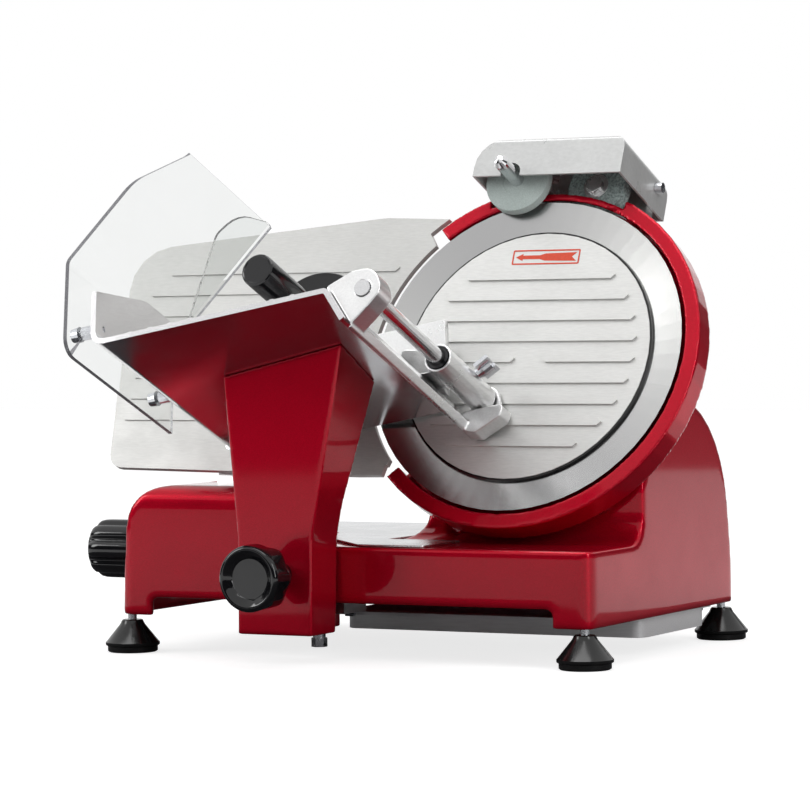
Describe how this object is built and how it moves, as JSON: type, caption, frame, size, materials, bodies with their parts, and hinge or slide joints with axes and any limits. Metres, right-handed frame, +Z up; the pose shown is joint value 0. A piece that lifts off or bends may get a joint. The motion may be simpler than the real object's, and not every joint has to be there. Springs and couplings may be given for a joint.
{
  "type": "meat slicer",
  "caption": "Electric gravity-feed meat slicer with a tilted round knife, sliding food tray with pusher and clear hand guard, thickness gauge plate and stone sharpener.",
  "frame": {"origin": "middle of the footprint, on the surface that the feet stand on", "axes": "+X along the carriage's travel to the right of the operator, +Y away from the operator, +Z up"},
  "size_m": [0.5014, 0.4174, 0.3859],
  "materials": {
    "red_lacquer": "glossy metallic red lacquer on cast aluminium",
    "polished_steel": "polished",
    "aluminium": "satin anodised",
    "stainless_sheet": "satin",
    "light_finish": "pale satin anodised",
    "black_plastic": "gloss",
    "black_rubber": "matt",
    "clear_plastic": "clear",
    "grinding_stone": "rough grey-green stone",
    "motor_iron": "dark painted",
    "green_button": "gloss",
    "red_button": "gloss"
  },
  "bodies": {
    "base": {"base_casting": "red_lacquer", "foot_front_left": "black_rubber", "foot_front_right": "black_rubber", "foot_back_left": "black_rubber", "foot_back_right": "black_rubber", "bottom_cover": "stainless_sheet", "cover_screw_front": "polished_steel", "cover_screw_back": "polished_steel", "receiving_tray": "stainless_sheet", "guide_rod": "polished_steel", "support_bar": "polished_steel", "gauge_rod": "polished_steel", "ring_guard": "red_lacquer", "pillar_bolt_left": "polished_steel", "pillar_bolt_right": "polished_steel", "knife_spindle": "polished_steel", "drive_belt": "black_rubber", "motor_body": "motor_iron", "knife_cover": "light_finish", "cover_tie_rod": "polished_steel", "switch_plate": "black_plastic", "cable_gland": "black_plastic"},
    "carriage": {"carriage_slide": "aluminium", "carriage_arm": "red_lacquer", "arm_bolt": "polished_steel", "food_tray": "aluminium", "hand_guard": "clear_plastic", "guard_screw_near": "polished_steel", "guard_screw_far": "polished_steel", "rod_bracket": "aluminium", "pusher_rod": "polished_steel"},
    "lock_knob": {"lock_knob": "black_plastic"},
    "pusher_bush": {"pusher_bush": "black_plastic"},
    "pusher": {"pusher_arm": "aluminium", "pusher_plate": "aluminium", "pusher_stem": "polished_steel", "pusher_shield": "black_plastic", "pusher_handle": "black_plastic"},
    "wing_screw": {"wing_screw": "polished_steel"},
    "gauge": {"gauge_plate": "light_finish", "gauge_bracket": "aluminium", "gauge_screw": "polished_steel"},
    "index_knob": {"index_knob": "black_plastic", "index_shaft": "polished_steel"},
    "knife": {"knife": "polished_steel", "knife_pulley": "aluminium", "knife_bearing": "polished_steel"},
    "motor_rotor": {"motor_pulley": "aluminium", "motor_shaft": "polished_steel"},
    "cover_knob": {"cover_knob": "black_plastic"},
    "sharpener": {"sharpener_cover": "light_finish", "sharpener_carrier": "aluminium"},
    "sharpener_screw": {"sharpener_screw": "polished_steel"},
    "deburring_pin": {"deburring_pin": "polished_steel"},
    "deburring_stone": {"deburring_stone": "grinding_stone"},
    "grinding_pin": {"grinding_pin": "polished_steel"},
    "grinding_stone": {"grinding_stone": "grinding_stone"},
    "start_button": {"start_button": "green_button"},
    "stop_button": {"stop_button": "red_button"}
  },
  "joints": [
    {"name": "carriage_slide", "type": "slide", "parent": "base", "child": "carriage", "axis": [1, 0, 0], "range_m": [-0.093, 0.168]},
    {"name": "lock_knob_turn", "type": "hinge", "parent": "carriage", "child": "lock_knob", "pos_m": [-0.01474, -0.11289, 0.066], "axis": [0, -1, 0], "range_deg": [-720, 0]},
    {"name": "pusher_slide", "type": "slide", "parent": "carriage", "child": "pusher_bush", "axis": [0, -0.9135, 0.4067], "range_m": [0, 0.1]},
    {"name": "pusher_swing", "type": "hinge", "parent": "pusher_bush", "child": "pusher", "pos_m": [0.08797, -0.02506, 0.20649], "axis": [0, 0.9135, -0.4067], "range_deg": [0, 100]},
    {"name": "wing_screw_turn", "type": "hinge", "parent": "pusher", "child": "wing_screw", "pos_m": [0.08797, -0.01592, 0.20242], "axis": [0.7431, 0.2722, 0.6113], "range_deg": [0, 360]},
    {"name": "gauge_slide", "type": "slide", "parent": "base", "child": "gauge", "axis": [0, 0.9135, -0.4067], "range_m": [0, 0.013]},
    {"name": "index_knob_turn", "type": "hinge", "parent": "base", "child": "index_knob", "pos_m": [-0.17682, -0.03291, 0.076], "axis": [-1, 0, 0], "range_deg": [0, 300.5]},
    {"name": "knife_spin", "type": "hinge", "parent": "base", "child": "knife", "pos_m": [0.11176, 0.03711, 0.22318], "axis": [0, 0.9135, -0.4067], "continuous": true},
    {"name": "motor_spin", "type": "hinge", "parent": "base", "child": "motor_rotor", "pos_m": [0.11176, 0.00253, 0.14553], "axis": [0, 0.9135, -0.4067], "continuous": true},
    {"name": "cover_knob_turn", "type": "hinge", "parent": "base", "child": "cover_knob", "pos_m": [0.11176, 0.07, 0.20854], "axis": [0, 0.9135, -0.4067], "range_deg": [0, 720]},
    {"name": "sharpener_lift", "type": "slide", "parent": "base", "child": "sharpener", "axis": [0, 0.4067, 0.9135], "range_m": [0, 0.025]},
    {"name": "sharpener_screw_turn", "type": "hinge", "parent": "sharpener", "child": "sharpener_screw", "pos_m": [0.17576, 0.13649, 0.34806], "axis": [1, 0, 0], "range_deg": [0, 720]},
    {"name": "deburring_push", "type": "slide", "parent": "sharpener", "child": "deburring_pin", "axis": [0, 0.9135, -0.4067], "range_m": [0, 0.003], "stiffness_N_per_m": 800, "springref_m": -0.002},
    {"name": "deburring_spin", "type": "hinge", "parent": "deburring_pin", "child": "deburring_stone", "pos_m": [0.08426, 0.09385, 0.35062], "axis": [0, 0.9135, -0.4067], "continuous": true},
    {"name": "grinding_pull", "type": "slide", "parent": "sharpener", "child": "grinding_pin", "axis": [0, -0.9135, 0.4067], "range_m": [0, 0.004], "stiffness_N_per_m": 800, "springref_m": -0.002},
    {"name": "grinding_spin", "type": "hinge", "parent": "grinding_pin", "child": "grinding_stone", "pos_m": [0.14176, 0.09466, 0.35245], "axis": [0, 0.9135, -0.4067], "continuous": true},
    {"name": "start_press", "type": "slide", "parent": "base", "child": "start_button", "axis": [0.9964, 0, -0.0843], "range_m": [0, 0.003], "stiffness_N_per_m": 300, "springref_m": -0.001},
    {"name": "stop_press", "type": "slide", "parent": "base", "child": "stop_button", "axis": [0.9964, 0, -0.0843], "range_m": [0, 0.003], "stiffness_N_per_m": 300, "springref_m": -0.001}
  ],
  "couplings": [
    {"joint": "index_knob_turn", "follows": "gauge_slide", "rad_per_m": 402.77},
    {"joint": "motor_spin", "follows": "knife_spin", "ratio": 4.1667}
  ]
}
